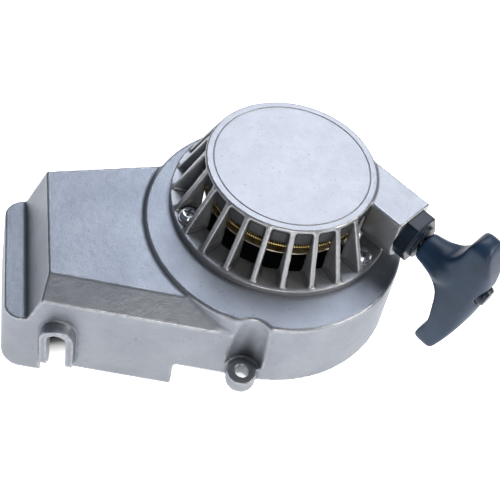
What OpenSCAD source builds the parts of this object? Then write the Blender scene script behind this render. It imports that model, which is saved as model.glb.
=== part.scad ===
// Recoil starter cage on its engine side cover.
// Origin: on the crank axis, in the plane where the cover meets the engine.
// +Z points along the crank axis, away from the engine; +X from the coil box to the fan scroll.

/* [Fan scroll] */
// Scroll centre, sideways from the crank axis
scroll_x = -3.6; // [-8:0.1:0]
// Scroll centre, towards the near side of the crank axis
scroll_y = -9.3; // [-12:0.1:-4]
// Scroll radius at the engine face
scroll_r = 66; // [60:0.5:80]
// Height of the scroll's top face
scroll_h = 39; // [32:0.5:48]
// Draft of the cast walls, in degrees
draft = 4; // [2:0.5:6]
// Wall of the cover
cover_wall = 3; // [2:0.25:4]
// Radius of the fan's air inlet, under the cage
inlet_r = 42; // [36:0.5:43]

/* [Coil box] */
// Height of the box's flat top
box_h = 37.5; // [30:0.5:39]
// Crank axis to the left edge of the flat top
box_left = 111.3; // [100:0.5:130]
// Width of the steep slope at the left end
slope_w = 9.9; // [5:0.1:14]
// Width of the low ledge at the left end
ledge_w = 10; // [8:0.5:16]
// Height of the low ledge
ledge_h = 14.5; // [8:0.5:22]
// Angle of the front wall to the box's axis
front_angle = 14; // [10:0.5:18]
// Angle of the back wall to the box's axis
back_angle = 4.5; // [0:0.5:8]
// Where the back wall's line would cross the crank axis
back_y = 34.4; // [28:0.1:42]
// Width of the sloped front edge
chamfer_w = 10; // [5:0.5:14]
// Height of the sloped front edge
chamfer_h = 7.8; // [4:0.1:12]
// Radius of the box's outer corners
box_corner = 10; // [6:0.5:14]
// How far the skirt hangs below the engine face
skirt_drop = 16; // [8:0.5:20]
// Crank axis to the skirt's right end
skirt_right = 54.6; // [48:0.1:62]
// How far the end foot hangs below the skirt
foot_drop = 7; // [2:0.5:10]
// Crank axis to the foot's right end
foot_right = 115.3; // [112:0.1:122]

/* [Lead slot] */
// Crank axis to the slot's centre
slot_x = 107.2; // [100:0.1:110]
// Width of the slot
slot_w = 8.6; // [6:0.1:10]
// Height of the slot's round top
slot_top = 13.5; // [6:0.5:18]
// Width of the raised metal round the slot
slot_rim = 3.6; // [2:0.1:5]
// How far the rim stands proud of the wall
slot_proud = 5; // [2:0.25:7]
// How far the rim reaches below the engine face
slot_rim_drop = 11; // [6:0.5:14]

/* [Bolt lugs] */
// Radius of a lug
lug_r = 7; // [6:0.25:9]
// Thickness of a lug
lug_h = 8; // [6:0.5:12]
// Radius of a lug's bolt hole, for M6
lug_hole_r = 3.3; // [2.7:0.05:4.3]
// How far the front lug's hole is outside the wall
front_lug_out = 1.5; // [1:0.1:5]
// How far the back lugs' holes are outside the wall
back_lug_out = 6.5; // [6:0.1:9]
// Radius of the screwdriver groove above the front lug
groove_r = 9.3; // [8:0.1:12]
// Direction of the front lug from the scroll's centre
front_lug_angle = -107.7; // [-112:0.1:-100]
// Direction of the back lug from the scroll's centre
back_lug_angle = 72; // [66:1:84]
// Crank axis to the box lug
box_lug_x = 88; // [76:1:100]

/* [Cage] */
// Radius of the top disc
disc_r = 41; // [36:0.5:46]
// Height of the cage above the scroll's top face
cage_h = 31; // [26:0.5:36]
// Thickness of the top disc
disc_t = 2.7; // [2:0.1:4]
// Height of the disc's rim
disc_rim = 2; // [1:0.1:3]
// Radius of the fine groove turned in the disc
ring_groove_r = 37.5; // [30:0.5:38]
// Width of that groove
ring_groove_w = 0.5; // [0.3:0.1:1]
// Depth of the closed skirt under the disc
skirt_h = 10.5; // [8:0.5:12]
// Wall of the skirt
skirt_t = 2.4; // [1.6:0.1:3]
// Outer radius of the base ring
ring_r = 54.4; // [50:0.2:60]
// Thickness of the base ring
ring_t = 4.2; // [3:0.1:6]
// Places for ribs round the cage
rib_places = 24; // [16:1:30]
// Thickness of a rib
rib_t = 2.6; // [2:0.1:3.5]
// Direction of the first rib
rib_angle = -54.5; // [-60:0.5:-50]
// Radius of the cage's screw circle
screw_pcd_r = 48.2; // [47:0.1:50]
// Direction of the first cage screw
screw_angle = -46.9; // [-50:0.1:-44]
// Radius of a cage screw, M5
screw_r = 2.5; // [2:0.5:3]

/* [Rope outlet] */
// Direction in which the rope leaves
rope_angle = -52.9; // [-60:0.1:-45]
// Distance of the outlet from the crank axis
outlet_off = 23.4; // [20:0.1:26]
// Height of the outlet above the scroll's top face
outlet_h = 19.2; // [17:0.1:20]
// Width of the rope boss
boss_w = 22.4; // [20:0.2:25]
// Where the rope boss ends, along the rope
boss_end = 57; // [52:0.5:62]
// Step from the disc down to the boss's top
boss_step = 0.6; // [0.2:0.1:1.5]
// Width across the flats of the rope guide
guide_af = 22; // [18:0.5:24]
// Thickness of the guide's head, with its collar
guide_head = 9; // [6:0.5:11]
// Radius of the guide's shank
guide_shank_r = 6; // [5:0.25:7]
// Length of the guide's shank
guide_shank = 12; // [8:0.5:13]

/* [Rope and reel] */
// Diameter of the rope
rope_d = 3.2; // [2.5:0.1:3.6]
// Turns of rope on the reel
rope_turns = 5; // [3:1:5]
// Radius of the reel's core under the rope
core_r = 19.5; // [18:0.5:20]
// Radius of the reel's plates
plate_r = 39.4; // [37:0.2:40]
// Thickness of a reel plate
plate_t = 1; // [0.8:0.1:1.2]
// Height of the rope's centre on the reel, above the scroll's top face
reel_h = 15; // [14.5:0.1:16]
// Radius of the centre post
post_r = 7; // [6:0.25:8]
// Wall of the reel's bush
bush_t = 1; // [0.8:0.1:1.5]
// Thickness of the spring strip
spring_t = 0.6; // [0.4:0.1:0.8]
// Turns of the spring
spring_turns = 11; // [8:1:13]

/* [Pawls] */
// Radius of the pawl pins' circle
pawl_pcd_r = 24; // [22:0.5:26]
// Length of a pawl from its pin to its tip
pawl_len = 14; // [12:0.5:15]
// Thickness of a pawl
pawl_t = 2.2; // [1.6:0.1:2.4]
// Radius of a pawl pin
pawl_pin_r = 2; // [1.5:0.1:2.5]
// How far the pawls swing out, in degrees
pawl_swing = 30; // [20:1:30]
// How far the friction plate turns to swing them, in degrees
guide_turn = 15; // [10:1:18]
// Radius of the friction plate
friction_r = 29; // [28:0.5:30]

/* [Handle] */
// Length of the handle along the rope
grip_len = 37.5; // [36:0.5:46]
// Width of the handle across the fingers
grip_w = 81; // [70:1:90]
// How far the bar's middle is below the stem
grip_low = 11; // [0:0.5:14]
// Radius of the handle's stem
stem_r = 7.4; // [7:0.1:9.5]
// Thickness of the handle
grip_t = 15; // [14:0.5:20]
// Turn of the handle about the rope
grip_turn = 90; // [0:5:90]
// How far the handle hangs down from the rope's line, in degrees
grip_droop = 2; // [0:1:12]
// How far the bar's ends sweep back
grip_sweep = 1.8; // [0:0.5:6]
// Radius of the bar's ends
tip_r = 5.7; // [5.5:0.1:9]
// Radius of the stem where it meets the bar
flare_r = 10; // [8:0.5:15]
// Length of the stem
flare_x = 14; // [12:0.5:20]

/* [Clearances] */
// Radial clearance where a part turns on another
run_gap = 0.05; // [0.02:0.01:0.09]
// Radial clearance where a part is fastened
fix_gap = 0.05; // [0.02:0.01:0.2]
// Gap between parts that pass each other
pass_gap = 0.2; // [0.1:0.05:0.3]

/* [Hidden] */
$fn = 96;
far = 600;
cast_grey = [0.66, 0.67, 0.70];
zinc_yellow = [0.80, 0.68, 0.35];
steel = [0.75, 0.76, 0.78];
dark_steel = [0.35, 0.36, 0.38];
black_plastic = [0.10, 0.12, 0.15];
rope_white = [0.85, 0.84, 0.80];

scroll_c = [scroll_x, scroll_y, 0];
front_dir = -90 - front_angle;
back_dir = 90 + back_angle;
wall_sink = 0.4;
slope_tilt = atan(slope_w / (box_h - ledge_h));
chamfer_tilt = atan(chamfer_w / chamfer_h);
box_end = box_left + slope_w + ledge_w + ledge_h * tan(draft);
disc_z = scroll_h + cage_h;
ring_z = scroll_h + ring_t;
skirt_z = disc_z - skirt_h;
skirt_out = disc_r - 0.8;
skirt_in = skirt_out - skirt_t;
disc_in_z = disc_z - disc_t;
chamber_r = plate_r + 1.2;
rope_out = [cos(rope_angle), sin(rope_angle), 0];
outlet_z = scroll_h + outlet_h;
boss_top = disc_z - boss_step;
reel_z = scroll_h + reel_h;
grip_dir = [cos(grip_droop), 0, -sin(grip_droop)];
rope_gap = rope_d + 0.8;
plate_up_z = reel_z + rope_gap / 2;
plate_low_z = reel_z - rope_gap / 2 - plate_t;
wind_r = core_r + rope_d * rope_turns - rope_d / 2 + 0.1;
bush_r = post_r + run_gap + bush_t;
neck_r = bush_r + fix_gap + 1.8;
neck_top = disc_in_z - 1.1;
hub_r = 12;
hub_z = plate_low_z - 2.4;
pawl_top = plate_low_z - 0.5;
pawl_z = pawl_top - pawl_t;
friction_t = 1.2;
friction_z = pawl_z - pass_gap - friction_t;
peg_off = 5;
peg_r = 1.2;
rivet_pcd_r = 15.8;
rivet_r = 1.5;
screw_head_r = 4.4;
screw_head_h = 3.2;
washer_t = 1;
thread_len = 12;

// Half of all space: what lies behind a plane with its outward normal at ang, tilted up
module behind(p, ang, tilt, inset = 0) {
  translate(p) rotate([0, 0, ang]) rotate([0, -tilt, 0])
    translate([-far - inset, -far / 2, -far / 2]) cube(far);
}

// A vertical cone with the cast walls' draft, radius r at the engine face
module drafted(r, z0, z1) {
  translate([0, 0, z0]) cylinder(h = z1 - z0, r1 = r - z0 * tan(draft), r2 = r - z1 * tan(draft));
}

// Where the lines of two box walls cross, as polar directions and distances from the crank axis
function cross_at(a1, d1, a2, d2) =
  let (s = sin(a2 - a1)) [(d1 * sin(a2) - d2 * sin(a1)) / s, (d2 * cos(a1) - d1 * cos(a2)) / s, 0];
front_d = scroll_x * cos(front_dir) + scroll_y * sin(front_dir) + scroll_r - wall_sink;
back_d = back_y * cos(back_angle);

// Cuts the drafted corner between two walls to a round one
module round_corner(a1, d1, a2, d2, r, inset) {
  c = cross_at(a1, d1 - r, a2, d2 - r);
  difference() {
    translate(c - [0, 0, far / 2]) linear_extrude(far)
      polygon([[0, 0], far * [cos(a1), sin(a1)], far * [cos(a1) + cos(a2), sin(a1) + sin(a2)],
        far * [cos(a2), sin(a2)]]);
    translate(c) drafted(r - inset / cos(draft) + 0.05, -60, 60);
  }
}

// Box of the cover, without the scroll; inset moves every face inwards
module box_form(inset, low) {
  difference() {
    intersection() {
      behind(front_d * [cos(front_dir), sin(front_dir), 0], front_dir, draft, inset);
      behind([0, back_y, 0], back_dir, draft, inset);
      behind([-box_end, 0, 0], 180, draft, inset);
      behind(scroll_c, -front_angle, 0);
      behind((front_d - box_h * tan(draft) - chamfer_w) * [cos(front_dir), sin(front_dir), 0]
        + [0, 0, box_h], front_dir, chamfer_tilt, inset);
      translate([-far / 2, -far / 2, low]) cube([far, far, box_h - inset - low]);
    }
    intersection() {
      behind([-box_left, 0, box_h], 0, -slope_tilt, -inset);
      translate([-far / 2, -far / 2, ledge_h - inset]) cube(far);
    }
    round_corner(180, box_end, front_dir, front_d, box_corner, inset);
    round_corner(180, box_end, back_dir, back_d, box_corner, inset);
  }
}

// Outline in the wall's own plane of the lead slot, round at the top
module slot_shape(w, top, low) {
  translate([0, top - w / 2]) circle(d = w);
  translate([-w / 2, low]) square([w, top - w / 2 - low]);
}

// The slot's frame: X along the front wall, Y up, Z out of the wall at the engine face
module on_front_wall() {
  y = (front_d + slot_x * cos(front_dir)) / sin(front_dir);
  translate([-slot_x, y, 0]) rotate([0, 0, -front_angle]) rotate([90, 0, 0]) children();
}

function polar(r, a) = [r * cos(a), r * sin(a), 0];
front_lug = scroll_c + polar(scroll_r + front_lug_out, front_lug_angle);
back_lug = scroll_c + polar(scroll_r + back_lug_out, back_lug_angle);
box_lug = [-box_lug_x, back_y - box_lug_x * tan(back_angle) + back_lug_out, 0];
groove_c = front_lug + polar(1.5, front_lug_angle);
lugs = [front_lug, back_lug, box_lug];
cage_screws = [for (i = [0:2]) polar(screw_pcd_r, screw_angle + 120 * i)];

// Scroll of the fan housing, outside or inside
module scroll_form(r, h, edge) {
  top = r - h * tan(draft);
  translate(scroll_c) rotate_extrude($fn = 128)
    polygon(concat([[0, 0], [r, 0]],
      [for (a = [0:15:90]) [top - edge + edge * cos(a), h - edge + edge * sin(a)]], [[0, h]]));
}

// Joins a lug to the wall behind it
module lug_web(p, ang) translate(p) rotate([0, 0, ang]) translate([-back_lug_out - 2, 0.3 - lug_r, 0])
  cube([back_lug_out + 2, 2 * (lug_r - 0.3), lug_h - 1]);

module side_cover() color(cast_grey) difference() {
  union() {
    scroll_form(scroll_r, scroll_h, 1.2);
    difference() {
      box_form(0, -skirt_drop - foot_drop);
      translate([-skirt_right, -far / 2, -far]) cube(far);
      translate(scroll_c - [0, 0, far]) cylinder(h = far, r = scroll_r + 0.5);
      translate([-foot_right, -far / 2, -far - skirt_drop]) cube(far);
    }
    on_front_wall() translate([0, 0, -cover_wall])
      linear_extrude(cover_wall + slot_proud)
        slot_shape(slot_w + 2 * slot_rim, slot_top + slot_rim, -slot_rim_drop);
    for (p = lugs) translate(p) cylinder(h = lug_h, r = lug_r);
    lug_web(back_lug, back_lug_angle);
    lug_web(box_lug, back_dir);
  }
  difference() {
    union() {
      translate([0, 0, -0.01]) scroll_form(scroll_r - cover_wall, scroll_h - cover_wall, 2);
      box_form(cover_wall, -40);
    }
    translate(groove_c) cylinder(h = far, r = groove_r + cover_wall);
    for (p = cage_screws) translate([p.x, p.y, scroll_h - thread_len]) cylinder(h = far, r = 5.5);
    // the scroll's wall runs on inside the box as a rib
    difference() {
      translate(scroll_c + [0, 0, scroll_h - 20]) cylinder(h = far, r = scroll_r - cover_wall);
      translate(scroll_c) cylinder(h = far, r = scroll_r - cover_wall - 2.6);
    }
  }
  translate(groove_c + [0, 0, lug_h]) cylinder(h = far, r = groove_r);
  cylinder(h = far, r = inlet_r);
  for (p = cage_screws) translate(p) cylinder(h = far, r = screw_r + fix_gap);
  for (p = lugs) translate(p - [0, 0, 1]) cylinder(h = lug_h + 2, r = lug_hole_r);
  on_front_wall() translate([0, 0, -20]) linear_extrude(40) slot_shape(slot_w, slot_top, -60);
}

// Outline of one rib: slim at the disc, wide at the base ring
module rib(a) rotate([0, 0, a]) rotate([90, 0, 0]) translate([0, 0, -rib_t / 2])
  linear_extrude(rib_t) polygon([[skirt_in + 1, disc_z - 1], [disc_r + 0.5, disc_z - 1.4],
    [ring_r - 0.8, ring_z - 1], [chamber_r + 0.5, ring_z - 1], [chamber_r - 1, skirt_z],
    [skirt_in + 1, skirt_z]]);

// Frame of the rope outlet: X along the rope, Y away from the crank axis, Z up
module along_rope() rotate([0, 0, rope_angle]) children();
boss_in = outlet_off - boss_w / 2;

module starter_housing() color(cast_grey) difference() {
  union() {
    rotate_extrude($fn = 128) polygon([[0, disc_in_z], [0, disc_z],
      [ring_groove_r - ring_groove_w, disc_z], [ring_groove_r - ring_groove_w / 2, disc_z - 0.4],
      [ring_groove_r, disc_z], [disc_r - 0.5, disc_z], [disc_r, disc_z - 0.5],
      [disc_r, disc_z - disc_rim], [skirt_out, disc_z - disc_rim - 0.6], [skirt_out, skirt_z],
      [skirt_in, skirt_z], [skirt_in, disc_in_z]]);
    difference() {
      union() {
        for (i = [0:rib_places - 1])
          if (i != 1 && i != 2) rib(rib_angle + i * 360 / rib_places);
        along_rope() translate([10, outlet_off, 0]) rotate([90, 0, 90]) linear_extrude(boss_end - 10) {
          translate([0, ring_z - 1 + boss_w / 2]) circle(d = boss_w);
          translate([-boss_w / 2, ring_z - 1 + boss_w / 2])
            square([boss_w, boss_top - ring_z + 1 - boss_w / 2]);
        }
      }
      cylinder(h = skirt_z, r = chamber_r);
      cylinder(h = disc_in_z, r = skirt_in + 1);
    }
    difference() {
      translate([0, 0, scroll_h]) cylinder(h = ring_t, r = ring_r, $fn = 128);
      cylinder(h = far, r = inlet_r + 0.3);
    }
    translate([0, 0, hub_z - pass_gap / 2]) cylinder(h = disc_z - 1 - hub_z, r = post_r);
    rotate([0, 0, 20]) translate([skirt_in - 2, 0, skirt_z + 1]) cylinder(h = disc_in_z - skirt_z, r = 1.2);
  }
  translate([0, 0, -1]) cylinder(h = disc_in_z - 1.5 + 1, r = 3 + fix_gap);
  for (p = cage_screws) {
    translate(p) cylinder(h = ring_z + 1, r = screw_r + 0.25);
    translate(p + [0, 0, ring_z]) cylinder(h = 8, r = 5.2);
  }
  along_rope() {
    translate([24, boss_in + 3, skirt_z - 8.5]) cube([21, boss_w - 6, outlet_z + 3 - skirt_z + 8.5]);
    translate([40, outlet_off, outlet_z]) rotate([0, 90, 0])
      cylinder(h = far, r = guide_shank_r + fix_gap);
  }
}

module screw_at(r, len, head_r, head_h) {
  difference() {
    union() {
      translate([0, 0, -len]) cylinder(h = len + 0.1, r = r);
      rotate_extrude() polygon([[0, 0], [head_r, 0], [head_r, head_h * 0.55],
        [head_r * 0.72, head_h], [0, head_h]]);
    }
    for (a = [0, 90]) rotate([0, 0, a])
      translate([-head_r * 0.6, -0.5, head_h * 0.45]) cube([head_r * 1.2, 1, head_h]);
  }
}

module housing_screws() color(steel)
  for (p = cage_screws) translate(p + [0, 0, ring_z + washer_t])
    screw_at(screw_r, ring_t + washer_t + thread_len - 1, screw_head_r, screw_head_h);

module housing_washers() color(steel)
  for (p = cage_screws) translate(p + [0, 0, ring_z]) difference() {
    cylinder(h = washer_t, r = 5);
    translate([0, 0, -1]) cylinder(h = washer_t + 2, r = screw_r + fix_gap);
  }

module rope_guide() color(black_plastic) along_rope()
  translate([boss_end, outlet_off, outlet_z]) rotate([0, 90, 0]) difference() {
    union() {
      rotate([0, 0, 30]) cylinder(h = guide_head - 2, r = guide_af / 2 / cos(30), $fn = 6);
      cylinder(h = guide_head, r = 8.6);
      translate([0, 0, -guide_shank]) cylinder(h = guide_shank + 0.1, r = guide_shank_r);
    }
    translate([0, 0, -guide_shank - 1]) cylinder(h = guide_shank + guide_head + 2, r = rope_d / 2 + 0.7);
    translate([0, 0, -guide_shank - 0.01]) cylinder(h = 3, r1 = guide_shank_r - 1.2, r2 = rope_d / 2 + 0.7);
    translate([0, 0, guide_head - 2.99]) cylinder(h = 3, r1 = rope_d / 2 + 0.7, r2 = guide_shank_r - 1);
  }

rivet_angles = [45, 135, 225, 315];
knot_angle = 90;

module rivet_holes() for (a = rivet_angles) rotate([0, 0, a])
  translate([rivet_pcd_r, 0, 0]) cylinder(h = far, r = rivet_r + fix_gap);

module reel_core() color(dark_steel) difference() {
  union() {
    translate([0, 0, plate_low_z + plate_t]) cylinder(h = rope_gap, r = core_r);
    translate([0, 0, plate_up_z - 0.1]) cylinder(h = neck_top - plate_up_z + 0.1, r = neck_r);
    translate([0, 0, hub_z]) cylinder(h = plate_low_z + plate_t + 0.1 - hub_z, r = hub_r);
  }
  cylinder(h = far, r = bush_r + fix_gap);
  rivet_holes();
  rotate([0, 0, knot_angle]) translate([15, 0, 0]) {
    cylinder(h = far, r = 3.2);
    translate([0, -rope_d / 2 - 0.1, 0]) cube([far, rope_d + 0.2, far]);
  }
}

module plate(z, hole_r) translate([0, 0, z]) difference() {
  rotate_extrude($fn = 128) polygon([[hole_r + fix_gap, 0], [plate_r - 0.3, 0], [plate_r, 0.3],
    [plate_r, plate_t - 0.3], [plate_r - 0.3, plate_t], [hole_r + fix_gap, plate_t]]);
  translate([0, 0, -far / 2]) rivet_holes();
}

module reel_upper_plate() color(zinc_yellow) plate(plate_up_z, neck_r);
module reel_lower_plate() color(zinc_yellow) difference() {
  plate(plate_low_z, hub_r);
  for (a = [0, 180]) rotate([0, 0, a]) translate([pawl_pcd_r, 0, 0])
    cylinder(h = far, r = pawl_pin_r + fix_gap);
}

module reel_rivets() color(steel) for (a = rivet_angles) rotate([0, 0, a])
  translate([rivet_pcd_r, 0, plate_low_z - 0.3]) {
    cylinder(h = plate_up_z + plate_t - plate_low_z + 0.6, r = rivet_r);
    cylinder(h = 0.3, r = rivet_r + 0.9);
    translate([0, 0, plate_up_z + plate_t - plate_low_z + 0.3]) cylinder(h = 0.7, r = rivet_r + 0.9);
  }

module reel_bush() color([0.70, 0.55, 0.30]) translate([0, 0, hub_z + 0.1]) difference() {
  cylinder(h = neck_top - hub_z - 0.2, r = bush_r);
  translate([0, 0, -1]) cylinder(h = far, r = post_r + run_gap);
}

// Flat spiral strip, from the reel's neck out to the housing's peg
spring_r0 = neck_r + spring_t;
spring_r1 = skirt_in - 3.6;
spring_steps = spring_turns * 24;
spring_z = plate_up_z + plate_t + 1.2;
function spiral(i, off) =
  let (k = i / spring_steps, r = spring_r0 + (spring_r1 - spring_r0) * k + off)
    r * [cos(20 - 360 * spring_turns * (1 - k)), sin(20 - 360 * spring_turns * (1 - k))];
module recoil_spring() color(dark_steel) translate([0, 0, spring_z])
  linear_extrude(neck_top - 0.6 - spring_z) polygon(concat(
    [for (i = [0:spring_steps]) spiral(i, spring_t / 2)],
    [for (i = [spring_steps:-1:0]) spiral(i, -spring_t / 2)]));

module rope_winding() color(rope_white) difference() {
  rotate_extrude($fn = 128) polygon(concat([[core_r + 0.1, reel_z - rope_d / 2]],
    [for (a = [-90:15:90]) [wind_r + rope_d / 2 * cos(a), reel_z + rope_d / 2 * sin(a)]],
    [[core_r + 0.1, reel_z + rope_d / 2]]));
}

module rope_anchor_knot() color(rope_white) rotate([0, 0, knot_angle]) {
  translate([15, 0, reel_z - rope_d / 2]) cylinder(h = rope_d, r = 3);
  translate([17, 0, reel_z]) rotate([0, 90, 0]) cylinder(h = core_r - 17, r = rope_d / 2 - 0.1);
}

module pawl_pins() color(steel) for (a = [0, 180]) rotate([0, 0, a])
  translate([pawl_pcd_r, 0, pawl_z]) cylinder(h = plate_low_z + plate_t - pawl_z, r = pawl_pin_r);

// A pawl points the way the reel turns under the rope's pull; its peg drops into the friction plate
module pawl(a) rotate([0, 0, a]) translate([pawl_pcd_r, 0, pawl_z]) difference() {
  union() {
    cylinder(h = pawl_t, r = pawl_pin_r + 2.2);
    translate([-1.4, -pawl_len, 0]) cube([2.9, pawl_len, pawl_t]);
    translate([-1.4, -pawl_len, 0]) linear_extrude(pawl_t)
      polygon([[0, 0], [2.9, 0], [4.0, 1.2], [2.9, 4.5], [0, 4.5]]);
    translate([0, -peg_off, -friction_t - pass_gap + 0.1]) cylinder(h = friction_t + pass_gap, r = peg_r);
  }
  translate([0, 0, -1]) cylinder(h = far, r = pawl_pin_r + run_gap);
}
module pawl_a() color(steel) pawl(0);
module pawl_b() color(steel) pawl(180);

// Ends of the cam slot in the friction plate, in the plate's own frame
peg_in = [pawl_pcd_r, -peg_off];
peg_turned = [pawl_pcd_r + peg_off * sin(pawl_swing), -peg_off * cos(pawl_swing)];
peg_out = [peg_turned.x * cos(guide_turn) + peg_turned.y * sin(guide_turn),
  peg_turned.y * cos(guide_turn) - peg_turned.x * sin(guide_turn)];
module cam_slot() {
  r = peg_r + 0.4;
  d = peg_out - peg_in;
  translate(peg_in) {
    circle(r = r);
    rotate(atan2(d.y, d.x)) translate([0, -r]) square([norm(d), 2 * r]);
  }
  translate(peg_out) circle(r = r);
}
module friction_plate() color([0.55, 0.56, 0.58]) translate([0, 0, friction_z])
  linear_extrude(friction_t) difference() {
    circle(r = friction_r, $fn = 128);
    circle(r = 3 + run_gap);
    for (a = [0, 180]) rotate(a) cam_slot();
    for (a = [60, 240]) rotate(a) translate([17, 0]) circle(r = 4);
  }

// Coned disc spring that presses the friction plate against the reel's hub
module friction_spring() color(dark_steel) translate([0, 0, friction_z - 1.6]) rotate_extrude()
  polygon([[3.4, 0], [4.6, 0], [9, 1.15], [9, 1.55], [8, 1.55], [3.4, 0.5]]);
module friction_washer() color(steel) translate([0, 0, friction_z - 2.6]) difference() {
  cylinder(h = 1, r = 7);
  translate([0, 0, -1]) cylinder(h = 3, r = 3 + fix_gap);
}
module centre_screw() color(steel) translate([0, 0, friction_z - 2.6]) rotate([180, 0, 0])
  screw_at(3, disc_in_z - 3 - friction_z + 2.6, 5.5, 3.8);

// Rope from the reel's outer turn, through the guide, to the knot in the handle.
// Points: distance along the rope's outlet, then sideways from the crank axis, then height.
lead_out = boss_end + guide_head;
rope_mouth = [lead_out - 1, outlet_off, outlet_z];
grip_x = 1.2 + stem_r * sin(grip_droop);
plug_depth = 5;
knot_x = grip_x + grip_len - plug_depth - 7;
tangent_a = atan2(outlet_off, boss_end - guide_shank) + acos(wind_r
  / norm([boss_end - guide_shank, outlet_off]));
tangent_p = [wind_r * cos(tangent_a), wind_r * sin(tangent_a), reel_z];
mouth_p = [boss_end - guide_shank + 3, outlet_off, outlet_z];
function rise(t) = let (k = max(0, t - 0.46) / 0.54) k * k * (3 - 2 * k);
lead_pts = concat(
  [for (t = [0.01:0.09:0.95]) tangent_p + (mouth_p - tangent_p) * t
    + [0, 0, (outlet_z - reel_z) * (rise(t) - t)]],
  [for (s = [mouth_p.x + 2:5:rope_mouth.x - 1]) [s, outlet_off, outlet_z]],
  [for (x = [0.5:4:knot_x]) rope_mouth + x * grip_dir], [rope_mouth + knot_x * grip_dir]);
function unit(v) = v / norm(v);
function dir_at(p, i) = unit(p[min(i + 1, len(p) - 1)] - p[max(i - 1, 0)]);
module swept(p, r, sides) {
  ring = [for (i = [0:len(p) - 1]) let (d = dir_at(p, i), u = unit(cross([0, 0, 1], d)), v = cross(d, u))
    for (k = [0:sides - 1]) p[i] + r * (cos(360 * k / sides) * u + sin(360 * k / sides) * v)];
  n = len(p);
  polyhedron(ring, concat(
    [[for (k = [0:sides - 1]) k]], [[for (k = [sides - 1:-1:0]) (n - 1) * sides + k]],
    [for (i = [0:n - 2]) for (k = [0:sides - 1]) let (a = i * sides + k, b = i * sides + (k + 1) % sides)
      [a, a + sides, b + sides, b]]));
}
module rope_lead() color(rope_white) difference() {
  along_rope() swept(lead_pts, rope_d / 2, 10);
  translate([0, 0, reel_z - rope_d]) cylinder(h = 2 * rope_d, r = wind_r + rope_d / 2 + 0.05);
}

module on_handle(x) along_rope() translate(rope_mouth) rotate([0, grip_droop, 0])
  rotate([grip_turn, 0, 0]) translate([x, 0, 0]) children();

module rope_end_knot() color(rope_white) on_handle(knot_x) rotate([0, 90, 0])
  rotate_extrude() polygon([[0, 0], [3.2, 0], [4, 1.2], [4, 4], [3, 5.4], [0, 5.4]]);
module knot_washer() color(steel) on_handle(knot_x - 1.2) rotate([0, 90, 0]) difference() {
  cylinder(h = 1.1, r = 5);
  translate([0, 0, -1]) cylinder(h = 4, r = rope_d / 2 + 0.3);
}

// Half outline of the handle's bar, up to a tip at reach: X along the rope, Y across the fingers
edge_a = 14;
tip_x = grip_len - 10.4 - grip_sweep;
function bar_half(reach) =
  let (c = [tip_x, reach - tip_r], e = c + tip_r * [cos(edge_a), sin(edge_a)])
    concat([[flare_x - 4, 0], [flare_x - 4, flare_r - 2], [flare_x, flare_r - 0.4],
      [flare_x + 2.6, flare_r + 2], [flare_x + 4.4, flare_r + 6]],
      reach > 40 ? [[tip_x - tip_r + 2.4, reach - tip_r - 13]] : [],
      [for (a = [176:-18:edge_a]) c + tip_r * [cos(a), sin(a)]],
      [for (k = [0.9:-0.15:0.1]) [grip_len - (grip_len - e.x) * k * k, e.y * k]], [[grip_len, 0]]);
bar_up = bar_half(grip_w / 2 - grip_low);
bar_down = bar_half(grip_w / 2 + grip_low);
module handle_grip() color(black_plastic) on_handle(grip_x) difference() {
  union() {
    rotate([0, 90, 0]) rotate_extrude() polygon([[0, 0], [stem_r - 1, 0], [stem_r - 0.3, 0.3],
      [stem_r, 1], [stem_r + 0.4, 5], [flare_r, flare_x], [flare_r, flare_x + 3],
      [grip_t / 2, grip_len - grip_t], [0, grip_len - 3]]);
    intersection() {
      translate([0, 0, -grip_t / 2]) linear_extrude(grip_t)
        polygon(concat(bar_up, [for (i = [len(bar_down) - 2:-1:1]) [bar_down[i].x, -bar_down[i].y]]));
      rotate([90, 0, 0]) translate([0, 0, -grip_w]) linear_extrude(2 * grip_w) polygon(concat(
        [[flare_x - 6, -grip_t * 0.36], [flare_x - 6, grip_t * 0.36], [flare_x + 2, grip_t / 2]],
        [for (a = [75:-15:-75]) [grip_len - grip_t * 0.42 + grip_t * 0.42 * cos(a), grip_t / 2 * sin(a)]],
        [[flare_x + 2, -grip_t / 2]]));
      translate([0, -grip_low, 0]) rotate([90, 0, 90]) linear_extrude(grip_len) polygon(concat(
        [for (a = [-90:15:90]) [grip_w / 2 - tip_r + tip_r * cos(a), grip_t / 2 * sin(a)]],
        [for (a = [90:15:270]) [tip_r - grip_w / 2 + tip_r * cos(a), grip_t / 2 * sin(a)]]));
    }
  }
  translate([-1, 0, 0]) rotate([0, 90, 0]) cylinder(h = far, r = rope_d / 2 + 0.6);
  translate([knot_x - 1.3 - grip_x, 0, 0]) rotate([0, 90, 0]) cylinder(h = far, r = 5.2);
}
module handle_plug() color(black_plastic) on_handle(grip_x + grip_len - plug_depth) rotate([0, 90, 0])
  rotate_extrude() polygon([[0, 0], [5.1, 0], [5.1, plug_depth - 0.5], [4.2, plug_depth + 0.9],
    [0, plug_depth + 1.2]]);

side_cover();
starter_housing();
housing_screws();
housing_washers();
rope_guide();
reel_core();
reel_upper_plate();
reel_lower_plate();
reel_rivets();
reel_bush();
recoil_spring();
rope_winding();
rope_anchor_knot();
pawl_pins();
pawl_a();
pawl_b();
friction_plate();
friction_spring();
friction_washer();
centre_screw();
rope_lead();
rope_end_knot();
knot_washer();
handle_grip();
handle_plug();
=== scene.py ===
# Recoil starter cage on its engine side cover, lying on a white table.
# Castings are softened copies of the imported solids, so every size stays the model's own.
import math
import bmesh
import bpy
import numpy as np
from mathutils import Matrix, Vector
from mathutils.kdtree import KDTree


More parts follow.
